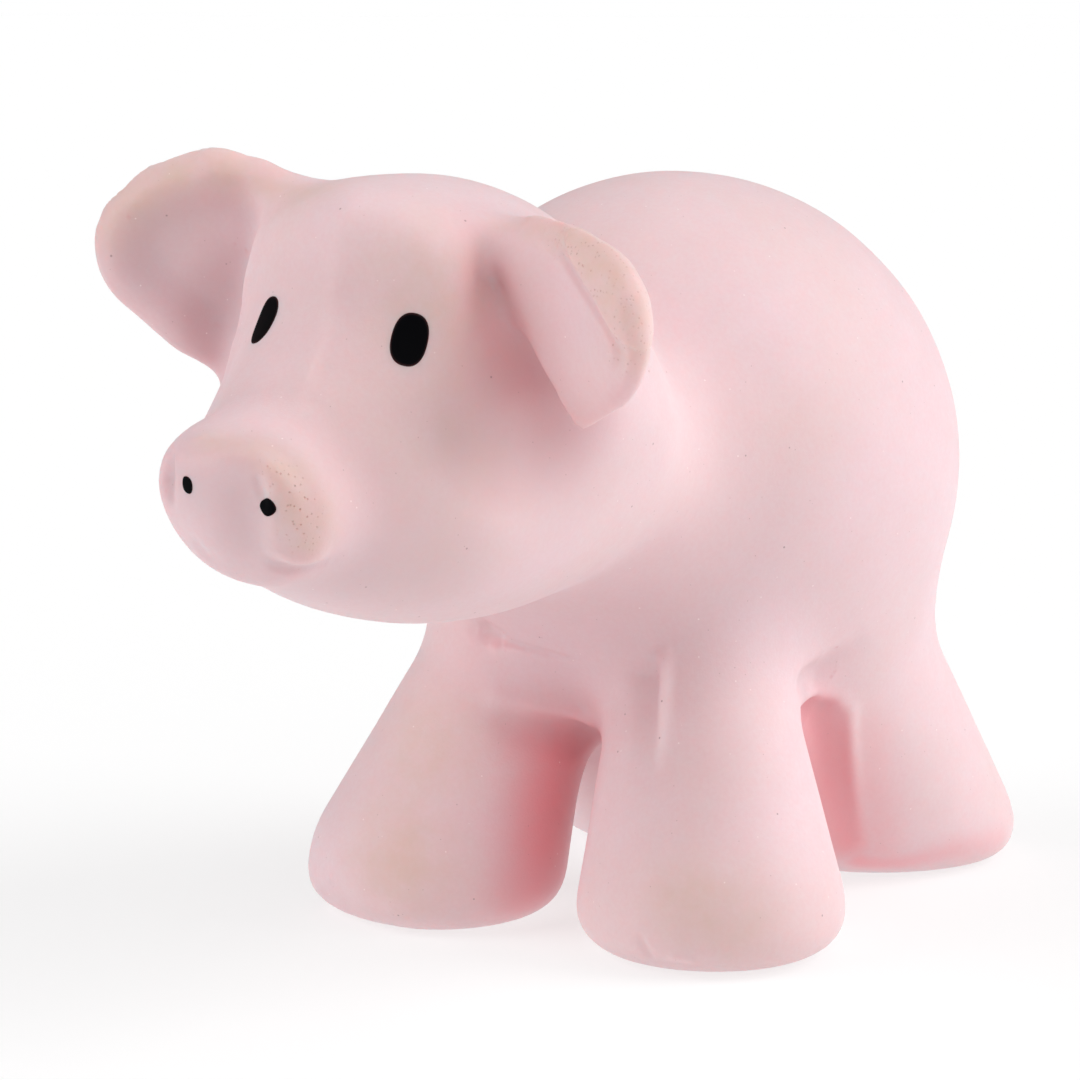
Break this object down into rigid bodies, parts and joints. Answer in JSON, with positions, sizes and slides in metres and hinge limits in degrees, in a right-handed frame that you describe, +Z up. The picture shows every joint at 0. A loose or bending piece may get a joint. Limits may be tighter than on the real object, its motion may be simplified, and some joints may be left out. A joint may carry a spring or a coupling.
{
  "type": "pig teething toy",
  "caption": "Hollow natural-rubber pig for a teething baby: standing on flared feet, head cocked, dished ears, painted eyes, loose rattle capsule inside.",
  "frame": {"origin": "on the standing surface, under the middle of the whole toy's box", "axes": "the pig looks along -Y, its left side is +X, +Z is up"},
  "size_m": [0.053, 0.109, 0.0718],
  "materials": {
    "pink_rubber": "matt natural rubber, one soft pink, slightly translucent",
    "plug_rubber": "matt natural rubber, a darker pink",
    "black_paint": "glossy black paint, food safe",
    "capsule_plastic": "smooth off-white moulded plastic",
    "bead_plastic": "smooth plastic shot"
  },
  "bodies": {
    "pig": {"rubber_body": "pink_rubber", "pour_plug": "plug_rubber", "eye_left": "black_paint", "eye_right": "black_paint", "nostril_left": "black_paint", "nostril_right": "black_paint"},
    "capsule": {"rattle_cup": "capsule_plastic", "rattle_cap": "capsule_plastic"},
    "first_bead": {"bead_1": "bead_plastic"},
    "second_bead": {"bead_2": "bead_plastic"},
    "third_bead": {"bead_3": "bead_plastic"},
    "fourth_bead": {"bead_4": "bead_plastic"},
    "fifth_bead": {"bead_5": "bead_plastic"}
  },
  "joints": [
    {"name": "capsule_hop", "type": "slide", "parent": "pig", "child": "capsule", "axis": [0, 0, 1], "range_m": [0, 0.0275]},
    {"name": "first_bead_hop", "type": "slide", "parent": "capsule", "child": "first_bead", "axis": [0, 0, 1], "range_m": [0, 0.0074]},
    {"name": "second_bead_hop", "type": "slide", "parent": "capsule", "child": "second_bead", "axis": [0, 0, 1], "range_m": [0, 0.0076]},
    {"name": "third_bead_hop", "type": "slide", "parent": "capsule", "child": "third_bead", "axis": [0, 0, 1], "range_m": [0, 0.0076]},
    {"name": "fourth_bead_hop", "type": "slide", "parent": "capsule", "child": "fourth_bead", "axis": [0, 0, 1], "range_m": [0, 0.0076]},
    {"name": "fifth_bead_hop", "type": "slide", "parent": "capsule", "child": "fifth_bead", "axis": [0, 0, 1], "range_m": [0, 0.0074]}
  ]
}
